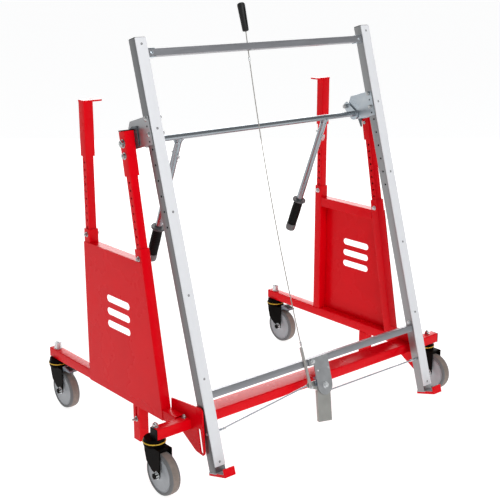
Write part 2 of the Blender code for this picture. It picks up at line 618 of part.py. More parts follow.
def build_castor(stem, word, chassis, black, grey, pedal):
    """Swivel fork, wheel and, where asked for, brake pedal; the wheel trails towards -Y."""
    axle = Vector((0, -TRAIL, WHEEL_RADIUS))
    spacer = RAIL_BOTTOM - BEAM_BOTTOM if stem.y > 0 else 0.0
    profile = [(CROWN_BOTTOM, 0.0), (CROWN_BOTTOM, 0.0300), (CROWN_BOTTOM + 0.004, CROWN_RADIUS),
               (CASTOR_TOP - 0.006, CROWN_RADIUS), (CASTOR_TOP - 0.001, 0.0295), (CASTOR_TOP + spacer, 0.0295)]
    crown = revolve_up(profile, 24)
    outline = [(-0.054, 0.1385), (-0.054, 0.112)]
    outline += arc((axle.y, axle.z), 0.0115, 170, 370, 8)
    outline += [(-0.0155, 0.0680), (0.0105, 0.0885), (0.0185, 0.118), (0.0205, 0.1385)]
    for low_x, high_x in ((-FORK_IN - FORK_PLATE, -FORK_IN), (FORK_IN, FORK_IN + FORK_PLATE)):
        join(crown, prism(outline, 0, low_x, high_x))
    tail = box((-0.0218, -0.046, 0.1285), (0.0218, -0.020, 0.138))
    pin = rod((-0.030, axle.y, axle.z), (0.030, axle.y, axle.z), AXLE_RADIUS, 16)
    heads = [rod((s * 0.0216, axle.y, axle.z), (s * 0.0330, axle.y, axle.z), 0.0095, 6) for s in (-1, 1)]
    join(crown, tail, pin, *heads)
    swivel = make_empty("castor_swivel_" + word, chassis, stem)
    settle(crown, "castor_fork_" + word, black, swivel)

    hub = make_empty("castor_axle_" + word, swivel, axle)
    settle(lathe(wheel_profile(), 36), "castor_wheel_" + word, grey, hub, smooth=True)
    if pedal:
        hinge = Vector((0, -0.0515, 0.140))
        outline = [(-0.0495, 0.1290), (-0.0495, 0.1475), (-0.060, 0.1500), (-0.092, 0.1420),
                   (-0.094, 0.1370), (-0.060, 0.1350)]
        holder = make_empty("brake_hinge_" + word, swivel, hinge)
        settle(prism(outline, 0, -0.015, 0.015), "brake_pedal_" + word, pedal, holder, hinge)


def revolve_up(profile, segments):
    """Profile of (height, radius) points turned about Z, closed by flat ends."""
    mesh = bmesh.new()
    rings = []
    for height, radius in profile:
        if radius == 0.0:
            continue
        ring = []
        for step in range(segments):
            angle = 2 * math.pi * step / segments
            ring.append(mesh.verts.new((radius * math.cos(angle), radius * math.sin(angle), height)))
        rings.append(ring)
    for ring, after in zip(rings, rings[1:]):
        for i in range(segments):
            j = (i + 1) % segments
            mesh.faces.new((ring[i], ring[j], after[j], after[i]))
    mesh.faces.new(rings[0])
    mesh.faces.new(reversed(rings[-1]))
    return from_bmesh(mesh)


# ---------------------------------------------------------------- the whole trolley

def main():
    for item in list(bpy.data.objects):
        bpy.data.objects.remove(item, do_unlink=True)

    red = make_material("red_paint", (0.70, 0.010, 0.012), 0.35)
    black = make_material("black_plastic", (0.015, 0.015, 0.016), 0.5)
    fork_black = make_material("black_steel", (0.02, 0.018, 0.017), 0.35)
    alloy = make_material("alloy", (0.42, 0.43, 0.45), 0.4, 0.8)
    white = make_material("white_strip", (0.80, 0.81, 0.83), 0.45)
    zinc = make_material("zinc", (0.62, 0.65, 0.68), 0.35, 0.9)
    steel = make_material("steel", (0.50, 0.50, 0.48), 0.45, 0.8)
    rubber = make_material("grip_rubber", (0.02, 0.02, 0.02), 0.7)
    wheel_grey = make_material("wheel_grey", (0.24, 0.23, 0.22), 0.65)
    pedal_grey = make_material("pedal_grey", (0.16, 0.17, 0.21), 0.5)

    chassis = make_empty("chassis")
    posts = make_empty("front_posts_slide", chassis, PIVOT, -POST_LEAN)
    tilt = make_empty("frame_tilt", chassis, PIVOT, -FRAME_LEAN)

    build_front_beam(chassis, red, black)
    for side, word in SIDES:
        build_side_frame(side, word, chassis, red)
        build_support_leg(side, word, chassis, red)
        build_rear_post(side, word, chassis, red)
        build_front_post(side, word, posts, red, black, zinc)
        settle(build_pivot_bracket(side), "pivot_bracket_" + word, zinc, tilt, (0, AXLE_Y, AXLE_Z))
    build_ladder(tilt, alloy, white, red)
    build_cross_tube(tilt, zinc, rubber)
    build_latch(tilt, zinc, steel, rubber)
    for side, word in SIDES:
        front = Vector((side * FRONT_STEM.x, FRONT_STEM.y, 0))
        rear = Vector((side * REAR_STEM.x, REAR_STEM.y, 0))
        build_castor(front, "front_" + word, chassis, fork_black, wheel_grey, None)
        build_castor(rear, "rear_" + word, chassis, fork_black, wheel_grey, pedal_grey)


main()
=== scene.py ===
"""Detailed panel-handling trolley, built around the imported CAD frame."""
import json
import math

import bmesh
import bpy
from mathutils import Matrix, Vector


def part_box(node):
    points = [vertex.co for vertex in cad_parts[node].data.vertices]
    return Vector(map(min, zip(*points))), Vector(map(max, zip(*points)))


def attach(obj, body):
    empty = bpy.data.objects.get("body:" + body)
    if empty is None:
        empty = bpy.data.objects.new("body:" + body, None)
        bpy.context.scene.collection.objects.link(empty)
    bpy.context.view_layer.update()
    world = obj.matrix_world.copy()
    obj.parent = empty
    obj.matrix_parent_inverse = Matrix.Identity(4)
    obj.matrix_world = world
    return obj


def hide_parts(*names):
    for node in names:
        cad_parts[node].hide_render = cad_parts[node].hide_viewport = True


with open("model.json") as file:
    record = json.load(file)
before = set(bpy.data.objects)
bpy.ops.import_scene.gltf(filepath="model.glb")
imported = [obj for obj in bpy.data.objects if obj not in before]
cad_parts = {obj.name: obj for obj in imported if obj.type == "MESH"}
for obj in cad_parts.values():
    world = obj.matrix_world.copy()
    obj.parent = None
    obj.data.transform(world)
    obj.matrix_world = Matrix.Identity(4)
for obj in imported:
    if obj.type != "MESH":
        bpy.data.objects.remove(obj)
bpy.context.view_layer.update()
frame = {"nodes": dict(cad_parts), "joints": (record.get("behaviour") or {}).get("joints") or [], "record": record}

SIDES = ((-1, "left"), (1, "right"))
JOINTS = {joint["name"]: joint for joint in frame["joints"]}
BODIES = frame["record"]["behaviour"]["bodies"]
BODY_OF = {node: body for body, nodes in BODIES.items() for node in nodes}
SLOT_OF = {part["node"]: part["material_slot"] for part in frame["record"]["subparts"]}

# LADDER holds the ladder frame's own axes: y = 0 on the rear faces of its rails, z up along them, with
# zero near their lower ends. POSTS holds the leaning posts' own axes: z up along them, with zero on the
# tilt axis.
PIVOT = Vector(JOINTS["frame_tilt"]["pos_m"])
LATCH_AXIS = Vector(JOINTS["latch_turn"]["axis"])
POST_UP = Vector(JOINTS["table_height"]["axis"])
FRAME_LEAN = math.atan2(LATCH_AXIS.z, -LATCH_AXIS.y)
POST_LEAN = math.atan2(POST_UP.y, POST_UP.z)
AXLE_Y, AXLE_Z = 0.062, 0.945
LADDER = (Matrix.Translation(PIVOT) @ Matrix.Rotation(-FRAME_LEAN, 4, "X")
          @ Matrix.Translation((0, -AXLE_Y, -AXLE_Z)))
POSTS = Matrix.Translation(PIVOT) @ Matrix.Rotation(-POST_LEAN, 4, "X")
WORLD = Matrix.Identity(4)

# Chassis: x of the side tubes' faces and middles, y of the rear posts and parking legs, and the sizes of
# the square tubes.
TUBE_IN, TUBE_MID, TUBE_OUT = 0.466, 0.482, 0.498
REAR_Y, LEG_Y = 0.169, -0.071
SLEEVE_HALF, SLEEVE_WALL = 0.016, 0.003
POST_HALF, POST_WALL = 0.0125, 0.0025
HOLE_PITCH = 0.022
BEAM_END = 0.4605

# Ladder frame, in its own axes: x of the rails' faces, y of the rails' and crossbars' middles, levels.
FRAME_IN, FRAME_OUT = 0.4217, 0.4578
FRAME_MID = (FRAME_IN + FRAME_OUT) / 2
RAIL_HALF = (FRAME_OUT - FRAME_IN) / 2
RAIL_Y, BAR_Y = -0.015, -0.0165
RAIL_START, RAIL_END = -0.0060, 1.218
TOP_BAR_Z, LOW_BAR_Z = 1.166, 0.201
LATCH_X, LATCH_Z = -0.0025, 0.1305
PIN_Y, PIN_Z = -0.022, 0.108
GAP = 0.0003


# ---------------------------------------------------------------- camera and cable route

def make_camera():
    """Long lens in front of the trolley and to its left, looking slightly down."""
    data = bpy.data.cameras.new("camera")
    data.sensor_width = 36.0
    data.lens = 73.0
    data.clip_start, data.clip_end = 0.05, 60.0
    camera = bpy.data.objects.new("camera", data)
    camera.location = (-2.0223, -2.4145, 1.4264)
    camera.rotation_euler = (math.radians(74.2), 0.0, math.radians(-40.0))
    bpy.context.collection.objects.link(camera)
    bpy.context.scene.camera = camera


make_camera()

CABLE_TOP = Vector((-0.051, -0.0165, 1.222))
CABLE_LOW = Vector((-0.0715, -0.0335, 0.2657))
CABLE_RADIUS = 0.0015
CABLE_SAG = 0.019


def cable_point(t):
    """Route of the pull cable from its link (t = 0) to the hand grip (t = 1), in the ladder's axes."""
    sag = 4 * CABLE_SAG * t * (1 - t)
    return CABLE_LOW.lerp(CABLE_TOP, t) + Vector((0, sag, 0))


# ---------------------------------------------------------------- materials

# Most noise values lie between these.
NOISE_LOW, NOISE_HIGH = 0.3, 0.7


def link(tree, source, target):
    tree.links.new(source, target)


def add_ramp(tree, source, low, high):
    """Colour ramp between two (position, colour) stops, driven by a socket."""
    ramp = tree.nodes.new("ShaderNodeValToRGB")
    for element, (position, colour) in zip(ramp.color_ramp.elements, (low, high)):
        element.position = position
        element.color = (*colour, 1)
    link(tree, source, ramp.inputs["Fac"])
    return ramp.outputs["Color"]


def surface(name, colour, rough, metallic=0.0, vary=0.06, grain=40.0, stretch=(1, 1, 1), bump=0.0,
            bump_scale=900.0, rough_vary=0.08, tint=None, specular=0.5):
    """Principled material that varies with procedural noise in colour, roughness and, with bump, relief."""
    material = bpy.data.materials.new(name)
    material.use_nodes = True
    tree = material.node_tree
    shader = tree.nodes["Principled BSDF"]
    shader.inputs["Metallic"].default_value = metallic
    shader.inputs["Specular IOR Level"].default_value = specular
    place = tree.nodes.new("ShaderNodeTexCoord")
    mapping = tree.nodes.new("ShaderNodeMapping")
    mapping.inputs["Scale"].default_value = stretch
    link(tree, place.outputs["Object"], mapping.inputs["Vector"])

    broad = tree.nodes.new("ShaderNodeTexNoise")
    broad.inputs["Scale"].default_value = grain
    broad.inputs["Detail"].default_value = 5.0
    link(tree, mapping.outputs["Vector"], broad.inputs["Vector"])
    dark = [c * (1 - vary) for c in colour]
    light = [min(1.0, c * (1 + vary)) for c in (tint or colour)]
    blend = add_ramp(tree, broad.outputs["Fac"], (NOISE_LOW, dark), (NOISE_HIGH, light))
    link(tree, blend, shader.inputs["Base Color"])

    spread = tree.nodes.new("ShaderNodeMapRange")
    spread.inputs["From Min"].default_value = NOISE_LOW
    spread.inputs["From Max"].default_value = NOISE_HIGH
    spread.inputs["To Min"].default_value = max(0.02, rough - rough_vary)
    spread.inputs["To Max"].default_value = rough + rough_vary
    link(tree, broad.outputs["Fac"], spread.inputs["Value"])
    link(tree, spread.outputs["Result"], shader.inputs["Roughness"])

    if bump:
        fine = tree.nodes.new("ShaderNodeTexNoise")
        fine.inputs["Scale"].default_value = bump_scale
        fine.inputs["Detail"].default_value = 3.0
        link(tree, mapping.outputs["Vector"], fine.inputs["Vector"])
        relief = tree.nodes.new("ShaderNodeBump")
        relief.inputs["Strength"].default_value = bump
        relief.inputs["Distance"].default_value = 0.0004
        link(tree, fine.outputs["Fac"], relief.inputs["Height"])
        link(tree, relief.outputs["Normal"], shader.inputs["Normal"])
    return material


RED = surface("red_powder_coat", (0.74, 0.0, 0.006), 0.27, vary=0.04, grain=9, bump=0.06,
              bump_scale=700, rough_vary=0.04, specular=0.10)
BLACK = surface("black_moulding", (0.006, 0.006, 0.006), 0.40, vary=0.2, grain=200, bump=0.15, specular=0.05)
# Near-black painted shade, for the insides of tubes and for the pivot brackets' spare holes.
PAINTED_SHADE = surface("painted_shade_black", (0.012, 0.010, 0.010), 0.7, vary=0.3, grain=120, specular=0.1)
FORK = surface("black_fork", (0.0035, 0.0025, 0.002), 0.34, vary=0.25, grain=60, bump=0.08, specular=0.02)
ALLOY = surface("rail_alloy", (0.29, 0.295, 0.30), 0.36, 0.85, vary=0.06, grain=60, stretch=(8, 8, 0.25),
                bump=0.05, bump_scale=120, rough_vary=0.06)
# Painted shade: a darker copy of the rail alloy, which only the left rail gets.
ALLOY_SHADED = surface("rail_alloy_painted_shade", (0.185, 0.19, 0.195), 0.36, 0.85, vary=0.1, grain=60,
                       stretch=(8, 8, 0.25), bump=0.05, bump_scale=120, rough_vary=0.06)
BAR = surface("crossbar_alloy", (0.31, 0.315, 0.335), 0.44, 0.8, vary=0.07, grain=60, stretch=(0.25, 8, 8),
              bump=0.05, bump_scale=120, rough_vary=0.06)
WHITE = surface("white_strip", (0.74, 0.75, 0.775), 0.42, vary=0.012, grain=30, stretch=(4, 4, 0.5),
                bump=0.04, bump_scale=500, specular=0.35)
ZINC = surface("zinc_plate", (0.44, 0.50, 0.55), 0.30, 0.88, vary=0.07, grain=26, bump=0.03,
               bump_scale=500, rough_vary=0.05, tint=(0.50, 0.54, 0.57))
ZINC_LONG = surface("zinc_tube", (0.26, 0.29, 0.31), 0.20, 0.92, vary=0.06, grain=30, stretch=(0.15, 1, 1),
                    bump=0.02, bump_scale=300, rough_vary=0.04, tint=(0.33, 0.36, 0.385))
STEEL = surface("plain_steel", (0.44, 0.43, 0.41), 0.40, 0.8, vary=0.08, grain=40, bump=0.06,
                bump_scale=400, rough_vary=0.08)
BRIGHT = surface("bright_nuts", (0.66, 0.68, 0.69), 0.28, 0.55, vary=0.06, grain=90, bump=0.03)
NUT = surface("plain_nuts", (0.44, 0.45, 0.45), 0.22, 0.95, vary=0.08, grain=90, bump=0.03)
# Darker grey plate, for the left pivot bracket, whose right twin keeps the zinc, and for the latch bracket.
PLATE = surface("dark_bracket_plate", (0.36, 0.37, 0.38), 0.40, 0.85, vary=0.08, grain=40, bump=0.05)
KICK = surface("kick_plate", (0.36, 0.36, 0.34), 0.42, 0.8, vary=0.08, grain=40, bump=0.06)
COIL = surface("blued_coil", (0.07, 0.10, 0.14), 0.30, 0.7, vary=0.15, grain=60, bump=0.05)
SPACER = surface("spacer_plate", (0.10, 0.115, 0.13), 0.24, 0.5, vary=0.15, grain=60, bump=0.05)
RUBBER = surface("grip_rubber", (0.009, 0.009, 0.009), 0.50, vary=0.25, grain=260, bump=0.2,
                 bump_scale=1600, specular=0.3)
GRIP_BLACK = surface("lever_rubber", (0.006, 0.006, 0.006), 0.5, vary=0.25, grain=260, bump=0.2,
                     bump_scale=1600, specular=0.08)
GRIP_GREY = surface("grip_grey", (0.11, 0.112, 0.115), 0.38, vary=0.12, grain=80, bump=0.06)
COLLAR = surface("grip_collar", (0.050, 0.052, 0.056), 0.30, vary=0.1, grain=80, bump=0.04)
TYRE = surface("tyre_wall", (0.135, 0.137, 0.140), 0.62, vary=0.08, grain=90, bump=0.15,
               bump_scale=1300)
TREAD = surface("tyre_tread", (0.215, 0.175, 0.150), 0.72, vary=0.10, grain=90, bump=0.25,
                bump_scale=1300, tint=(0.235, 0.19, 0.165))
HUB = surface("hub_moulding", (0.36, 0.375, 0.395), 0.45, vary=0.05, grain=60, bump=0.06)
YELLOW = surface("yellow_ring", (0.66, 0.40, 0.02), 0.36, vary=0.08, grain=120, bump=0.05)
PEDAL = surface("pedal_moulding", (0.17, 0.19, 0.225), 0.40, vary=0.1, grain=60, bump=0.08)
# The finish of each of the record's slots, for pieces that keep the CAD's own shape.
LOOK = {"red_paint": RED, "black_plastic": BLACK, "black_steel": FORK, "alloy": ALLOY, "white_strip": WHITE,
        "zinc": ZINC, "steel": STEEL, "rubber": RUBBER, "tyre_grey": TYRE, "pedal_grey": PEDAL}


def strand_material():
    """Wire rope: bright strands laid on a slant."""
    material = surface("wire_rope", (0.42, 0.41, 0.38), 0.36, 0.75, vary=0.1, grain=300)
    tree = material.node_tree
    place = tree.nodes.new("ShaderNodeTexCoord")
    turn = tree.nodes.new("ShaderNodeMapping")
    turn.inputs["Rotation"].default_value = (0, 0.6, 0)
    wave = tree.nodes.new("ShaderNodeTexWave")
    wave.bands_direction = "Z"
    wave.inputs["Scale"].default_value = 300.0
    relief = tree.nodes.new("ShaderNodeBump")
    relief.inputs["Strength"].default_value = 0.8
    relief.inputs["Distance"].default_value = 0.0005
    link(tree, place.outputs["Object"], turn.inputs["Vector"])
    link(tree, turn.outputs["Vector"], wave.inputs["Vector"])
    link(tree, wave.outputs["Fac"], relief.inputs["Height"])
    link(tree, relief.outputs["Normal"], tree.nodes["Principled BSDF"].inputs["Normal"])
    return material


ROPE = strand_material()


# ---------------------------------------------------------------- mesh tools

def arc(centre, radius, start, end, steps):
    """Points on an arc, angles in degrees."""
    points = []
    for i in range(steps + 1):
        angle = math.radians(start + (end - start) * i / steps)
        points.append((centre[0] + radius * math.cos(angle), centre[1] + radius * math.sin(angle)))
    return points


def slot_outline(first, second, radius):
    """Round-ended slot between two centres."""
    heading = math.degrees(math.atan2(second[1] - first[1], second[0] - first[0]))
    return (arc(second, radius, heading - 90, heading + 90, 8)
            + arc(first, radius, heading + 90, heading + 270, 8))


def rounded(half_a, half_b, radius, steps=4):
    """Rectangle with rounded corners about the origin."""
    points = []
    for sa, sb, start in ((1, 1, 0), (-1, 1, 90), (-1, -1, 180), (1, -1, 270)):
        points += arc((sa * (half_a - radius), sb * (half_b - radius)), radius, start, start + 90, steps)
    return points


def placed(first, second, axis, level):
    """Point at a level along one axis, with its two other coordinates in order."""
    place = [first, second]
    place.insert(axis, level)
    return place


def prism(outline, axis, low, high):
    """Outline drawn out along an axis from one level to another."""
    mesh = bmesh.new()
    rings = [[mesh.verts.new(placed(a, b, axis, level)) for a, b in outline] for level in (low, high)]
    mesh.faces.new(rings[0])
    mesh.faces.new(reversed(rings[1]))
    for i in range(len(outline)):
        j = (i + 1) % len(outline)
        mesh.faces.new((rings[0][i], rings[0][j], rings[1][j], rings[1][i]))
    return mesh


def tube(centre, half, wall, axis, low, high, radius=0.003, ends=None):
    """Open rectangular tube with rounded corners.

    ends may hold two functions that give each end's level from the two other coordinates.
    """
    mesh = bmesh.new()
    outer = rounded(half[0], half[1], radius)
    inner = rounded(half[0] - wall, half[1] - wall, max(0.0006, radius - wall))
    loops = []
    for which, level in enumerate((low, high)):
        for outline in (outer, inner):
            loop = []
            for a, b in outline:
                a, b = a + centre[0], b + centre[1]
                here = ends[which](a, b) if ends else level
                loop.append(mesh.verts.new(placed(a, b, axis, here)))
            loops.append(loop)
    for first, second in ((0, 1), (1, 3), (3, 2), (2, 0)):
        for i in range(len(outer)):
            j = (i + 1) % len(outer)
            mesh.faces.new((loops[first][i], loops[first][j], loops[second][j], loops[second][i]))
    return mesh


def lathe(profile, segments=32, closed=True):
    """(along, radius) points turned about X; a closed profile makes a ring, an open one is capped."""
    mesh = bmesh.new()
    rings = []
    for step in range(segments):
        angle = 2 * math.pi * step / segments
        rings.append([mesh.verts.new((x, r * math.cos(angle), r * math.sin(angle))) for x, r in profile])
    count = len(profile)
    for step in range(segments):
        ring, after = rings[step], rings[(step + 1) % segments]
        for i in range(count if closed else count - 1):
            j = (i + 1) % count
            mesh.faces.new((ring[i], ring[j], after[j], after[i]))
    if not closed:
        mesh.faces.new([ring[0] for ring in rings])
        mesh.faces.new([ring[-1] for ring in reversed(rings)])
    return mesh


def sweep(points, radius, sides):
    """Solid round bar along points."""
    mesh = bmesh.new()
    points = [Vector(p) for p in points]
    normal = None
    rings = []
    for i, point in enumerate(points):
        before, after = points[max(i - 1, 0)], points[min(i + 1, len(points) - 1)]
        heading = (after - before).normalized()
        if normal is None:
            normal = heading.orthogonal().normalized()
        normal = (normal - heading * normal.dot(heading)).normalized()
        across = heading.cross(normal)
        ring = []
        for step in range(sides):
            angle = 2 * math.pi * step / sides
            offset = (normal * math.cos(angle) + across * math.sin(angle)) * radius
            ring.append(mesh.verts.new(point + offset))
        rings.append(ring)
    for ring, after in zip(rings, rings[1:]):
        for i in range(sides):
            j = (i + 1) % sides
            mesh.faces.new((ring[i], ring[j], after[j], after[i]))
    mesh.faces.new(rings[0])
    mesh.faces.new(reversed(rings[-1]))
    return mesh


def towards(direction):
    """Rotation that turns +X to the given direction."""
    return Vector(direction).to_track_quat("X", "Z").to_matrix().to_4x4()


def upright_at(x, y):
    """Stands what lies along +X upright at a place."""
    return Matrix.Translation((x, y, 0)) @ Matrix.Rotation(-math.pi / 2, 4, "Y")


def merged(*meshes):
    """One mesh from several, which are used up."""
    whole = bmesh.new()
    for mesh in meshes:
        data = bpy.data.meshes.new("part")
        mesh.to_mesh(data)
        mesh.free()
        whole.from_mesh(data)
        bpy.data.meshes.remove(data)
    return whole


def shifted(mesh, matrix):
    """The same mesh, moved."""
    bmesh.ops.transform(mesh, matrix=matrix, verts=mesh.verts)
    return mesh


def loose(mesh):
    """Object made from a mesh, which is used up."""
    bmesh.ops.recalc_face_normals(mesh, faces=mesh.faces)
    data = bpy.data.meshes.new("loose")
    mesh.to_mesh(data)
    mesh.free()
    piece = bpy.data.objects.new("loose", data)
    bpy.context.collection.objects.link(piece)
    return piece


def cut(piece, cutter_mesh):
    """Boolean difference, applied."""
    cutter = loose(cutter_mesh)
    step = piece.modifiers.new("cut", "BOOLEAN")
    step.operation = "DIFFERENCE"
    step.solver = "EXACT"
    step.object = cutter
    bpy.context.view_layer.update()
    result = piece.evaluated_get(bpy.context.evaluated_depsgraph_get())
    mesh = bpy.data.meshes.new_from_object(result)
    piece.modifiers.clear()
    piece.data = mesh
    bpy.data.objects.remove(cutter, do_unlink=True)


def paint_bore_shade(piece, centre, half, axes):
    """Painted shade inside a tube: every face whose middle lies within half of the tube's centre line turns
    near-black.
    """
    piece.data.materials.append(PAINTED_SHADE)
    for face in piece.data.polygons:
        if all(abs(face.center[axis] - middle) < half for axis, middle in zip(axes, centre)):
            face.material_index = 1


# An edge that turns by more degrees than this is sharp.
SHARP = 32


def finish_piece(piece, name, body, material, matrix, bevel, angle=SHARP, segments=2):
    """Gives a piece its name, finish, eased edges, place and body."""
    piece.name = name
    piece.data.name = name
    piece.data.materials.clear()
    piece.data.materials.append(material)
    piece.data.shade_smooth()
    piece.data.set_sharp_from_angle(angle=math.radians(angle))
    if bevel:
        step = piece.modifiers.new("edges", "BEVEL")
        step.width = bevel
        step.segments = segments
        step.limit_method = "ANGLE"
        step.angle_limit = math.radians(angle + 3)
        step.harden_normals = True
    piece.matrix_world = matrix
    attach(piece, body)
    return piece


def add(name, mesh, body, material, slot, matrix=WORLD, bevel=0.0, angle=SHARP, replaces=None,
        holes=None, bore=None):
    """A new piece; holes is a mesh to cut out of it, and bore holds what paint_bore_shade takes for the painted
    shade inside a tube.
    """
    piece = loose(mesh)
    if holes is not None:
        cut(piece, holes)
    finish_piece(piece, name, body, material, matrix, bevel, angle)
    if bore:
        paint_bore_shade(piece, *bore)
    if replaces:
        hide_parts(replaces)


def carry(node, material=None, bevel=0.0006, segments=2):
    """A CAD node's own shape with eased edges and a finished material."""
    mesh = bmesh.new()
    mesh.from_mesh(frame["nodes"][node].data)
    bmesh.ops.remove_doubles(mesh, verts=mesh.verts, dist=0.00001)
    bmesh.ops.dissolve_limit(mesh, angle_limit=math.radians(0.5), verts=mesh.verts, edges=mesh.edges)
    slot = SLOT_OF[node]
    piece = finish_piece(loose(mesh), node + "_skin", BODY_OF[node], material or LOOK[slot],
                         WORLD, bevel, segments=segments)
    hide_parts(node)


# ---------------------------------------------------------------- fasteners

WASHER_THICK, HEX_TURN = 0.0016, 10.0


def hex_head(size, height, washer, stud):
    """Hexagon with a washer under it and a bolt end on top, standing along +X from x = 0."""
    parts = []
    base = 0.0
    if washer:
        base, ease = WASHER_THICK, 0.0003
        profile = [(0, washer - ease), (ease, washer), (base - ease, washer), (base, washer - ease)]
        parts.append(lathe(profile, 24, closed=False))
    corner = size / math.cos(math.radians(30)) / 2
    nut = prism(arc((0, 0), corner, HEX_TURN, HEX_TURN + 300, 5), 0, base, base + height)
    bmesh.ops.recalc_face_normals(nut, faces=nut.faces)
    bmesh.ops.bevel(nut, geom=nut.edges[:], offset=size * 0.04, segments=1, affect="EDGES")
    parts.append(nut)
    end, top = size * 0.28, base + height + stud
    profile = [(base + height * 0.5, end), (top - 0.001, end), (top, end - 0.0008)]
    parts.append(lathe(profile, 16, closed=False))
    return merged(*parts)


def fastener(name, point, direction, body, matrix=WORLD, size=0.013, height=0.006, washer=0.011,
             stud=0.0022, material=NUT):
    """Nut or bolt head standing on a point; washer is the washer's radius, or 0 for none."""
    place = Matrix.Translation(Vector(point)) @ towards(direction)
    mesh = shifted(hex_head(size, height, washer, stud), place)
    add(name, mesh, body, material, "zinc", matrix, angle=25)


def round_screw(name, point, direction, body, matrix=WORLD, radius=0.0045, material=ZINC):
    """Low domed head."""
    profile = [(-0.0005, radius), (0.0004, radius), (0.0012, radius * 0.75), (0.0016, radius * 0.4),
               (0.0016, 0.0003)]
    place = Matrix.Translation(Vector(point)) @ towards(direction)
    add(name, shifted(lathe(profile, 16, closed=False), place), body, material, "zinc", matrix, angle=40)


# ---------------------------------------------------------------- chassis

def red_piece(name, mesh, body="chassis", matrix=WORLD, **more):
    """A painted steel piece."""
    add(name, mesh, body, RED, "red_paint", matrix, **more)


def sleeve_tube(centre, axis, low, high, ends=None):
    """Square tube of the size that the chassis is welded from."""
    return tube(centre, (SLEEVE_HALF, SLEEVE_HALF), SLEEVE_WALL, axis, low, high, ends=ends)


def post_tube(centre, low, high, wall=POST_WALL, radius=0.0025):
    """Upright square tube of the size that slides in a sleeve."""
    return tube(centre, (POST_HALF, POST_HALF), wall, 2, low, high, radius)


def side_holes(x, y, levels, reach, radius=0.0035):
    """Cutters for a row of round holes from side to side through an upright tube."""
    profile = [(x - reach, radius), (x + reach, radius)]
    cutters = []
    for z in levels:
        cutters.append(shifted(lathe(profile, 14, closed=False), Matrix.Translation((0, y, z))))
    return merged(*cutters)


def make_beam():
    """Deep middle of the front beam."""
    low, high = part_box("front_beam")
    deep, level = (high.y - low.y) / 2, (low.z + high.z) / 2
    middle = tube((low.y + deep, level), (deep, SLEEVE_HALF), SLEEVE_WALL, 0, -BEAM_END, BEAM_END)
    red_piece("beam_tube", middle, replaces="front_beam")


def make_beam_stub(side, word):
    """Narrow end of the front beam, over a castor."""
    low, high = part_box("front_beam")
    near, far = sorted((side * BEAM_END, low.x if side < 0 else high.x))
    stub = sleeve_tube((low.y + SLEEVE_HALF, (low.z + high.z) / 2), 0, near, far)
    red_piece("beam_stub_" + word, stub)
    carry("beam_end_cap_" + word, bevel=0.001)


def make_base(side, word):
    """Rail along the floor with the guide of its parking leg; returns the level of the rail's middle."""
    middle = side * TUBE_MID
    low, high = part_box("base_rail_" + word)
    level = high.z - SLEEVE_HALF
    rail = sleeve_tube((middle, level), 1, low.y, high.y)
    guide = post_tube((middle, LEG_Y), low.z, level - SLEEVE_HALF, SLEEVE_WALL, 0.002)
    red_piece("base_tube_" + word, merged(rail, guide), replaces="base_rail_" + word)
    return level


def make_sleeves(side, word, rail_level):
    """Upright rear sleeve, and leaning front sleeve cut level where it meets the rail."""
    middle = side * TUBE_MID
    low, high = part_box("rear_sleeve_" + word)
    red_piece("rear_sleeve_tube_" + word, sleeve_tube((middle, REAR_Y), 2, low.z, high.z),
              replaces="rear_sleeve_" + word)
    rail_top = rail_level + SLEEVE_HALF + GAP

    def cut_level(x, y):
        return (rail_top - PIVOT.z) / math.cos(POST_LEAN) + y * math.tan(POST_LEAN)

    def cut_square(x, y):
        return -0.298

    front = sleeve_tube((middle, 0.0), 2, 0, 0, ends=(cut_level, cut_square))
    red_piece("front_sleeve_tube_" + word, front, matrix=POSTS, replaces="front_sleeve_" + word)


def make_chassis_fasteners(side, word):
    """Bolt of the parking leg, clamp bolts and nuts of the sleeves, beam bolt and castor nuts."""
    outside, inside = side * TUBE_OUT, side * TUBE_IN
    outwards, inwards = (side, 0, 0), (-side, 0, 0)
    rear_clamp, front_clamp = (REAR_Y, 0.638), (0.0, -0.326)
    fastener("leg_bolt_" + word, (outside, LEG_Y, 0.118), outwards, "chassis",
             size=0.010, washer=0.0085, stud=0.008)
    fastener("rear_clamp_" + word, (outside, *rear_clamp), outwards, "chassis",
             size=0.010, height=0.005, washer=0.008)
    fastener("front_clamp_" + word, (outside, *front_clamp), outwards, "chassis", POSTS,
             size=0.010, height=0.005, washer=0.008)
    fastener("rear_clamp_nut_" + word, (inside, *rear_clamp), inwards, "chassis",
             size=0.011, washer=0.008, material=BRIGHT)
    fastener("front_clamp_nut_" + word, (inside, *front_clamp), inwards, "chassis", POSTS,
             size=0.010, height=0.005, washer=0.0075, material=BRIGHT)
    bolt_x, bolt_y = side * 0.476, -0.281
    fastener("beam_bolt_" + word, (bolt_x, bolt_y, 0.190), (0, 0, 1), "chassis",
             size=0.010, height=0.007, washer=0.0075)
    fastener("beam_bolt_head_" + word, (bolt_x, bolt_y, 0.158), (0, 0, -1), "chassis", washer=0.0)
    fastener("castor_nut_front_" + word, (side * 0.5715, -0.2764, 0.190), (0, 0, 1), "chassis",
             size=0.014, height=0.008, washer=0.010, stud=0.004)
    fastener("castor_nut_rear_" + word, (side * TUBE_MID, 0.4135, 0.194), (0, 0, 1), "chassis",
             size=0.021, height=0.022, washer=0.0125, stud=0.002, material=BRIGHT)


def make_chassis():
    make_beam()
    for side, word in SIDES:
        make_beam_stub(side, word)
        rail_level = make_base(side, word)
        make_sleeves(side, word, rail_level)
        carry("top_rail_" + word, bevel=0.0022, segments=3)
        carry("side_sheet_" + word, bevel=0.0004)
        carry("catch_plate_" + word, bevel=0.0006)
        carry("support_leg_" + word, bevel=0.0012)
        make_chassis_fasteners(side, word)


# ---------------------------------------------------------------- posts

def drill_post(middle, y, lowest, count):
    """Cutters for a post's row of holes, one pitch apart."""
    return side_holes(middle, y, [lowest + HOLE_PITCH * i for i in range(count)], 0.02)


